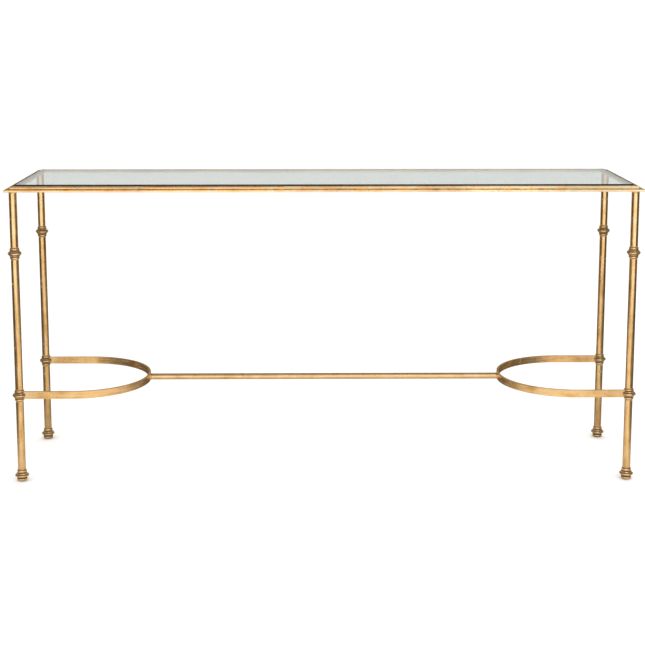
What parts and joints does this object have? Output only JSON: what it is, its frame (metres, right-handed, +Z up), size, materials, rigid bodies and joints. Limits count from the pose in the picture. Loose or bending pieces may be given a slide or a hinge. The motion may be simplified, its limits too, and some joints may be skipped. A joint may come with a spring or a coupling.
{
  "type": "console table",
  "caption": "Long narrow table with a gold-leafed metal frame, a drop-in clear glass top, collared round legs, U-shaped end bars and a centre stretcher.",
  "frame": {"origin": "on the floor under the middle of the table", "axes": "+X along the table's length, -Y the front, +Z up"},
  "size_m": [1.524, 0.381, 0.731],
  "materials": {
    "gold_leaf": "antiqued gold leaf over iron, satin, rubbed brown in places",
    "gold_turnings": "antiqued gold leaf on turned rings and feet, dark in the grooves",
    "clear_glass": "clear float glass, faintly green, edges ground and polished",
    "clear_pads": "clear soft plastic",
    "glides": "dark moulded plastic"
  },
  "bodies": {
    "frame": {"bow_left": "gold_leaf", "bow_right": "gold_leaf", "centre_stretcher": "gold_leaf", "foot_front_left": "gold_turnings", "foot_front_right": "gold_turnings", "foot_glides": "glides", "foot_rear_left": "gold_turnings", "foot_rear_right": "gold_turnings", "glass_pads": "clear_pads", "ledge_front": "gold_leaf", "ledge_left": "gold_leaf", "ledge_rear": "gold_leaf", "ledge_right": "gold_leaf", "leg_tube_front_left": "gold_leaf", "leg_tube_front_right": "gold_leaf", "leg_tube_rear_left": "gold_leaf", "leg_tube_rear_right": "gold_leaf", "middle_collar_front_left": "gold_turnings", "middle_collar_front_right": "gold_turnings", "middle_collar_rear_left": "gold_turnings", "middle_collar_rear_right": "gold_turnings", "rim_front": "gold_leaf", "rim_left": "gold_leaf", "rim_rear": "gold_leaf", "rim_right": "gold_leaf", "upper_collar_front_left": "gold_turnings", "upper_collar_front_right": "gold_turnings", "upper_collar_rear_left": "gold_turnings", "upper_collar_rear_right": "gold_turnings"},
    "glass": {"glass_top": "clear_glass"}
  },
  "joints": [
    {"name": "glass_lift", "type": "slide", "parent": "frame", "child": "glass", "axis": [0, 0, 1], "range_m": [0, 0.08]}
  ]
}
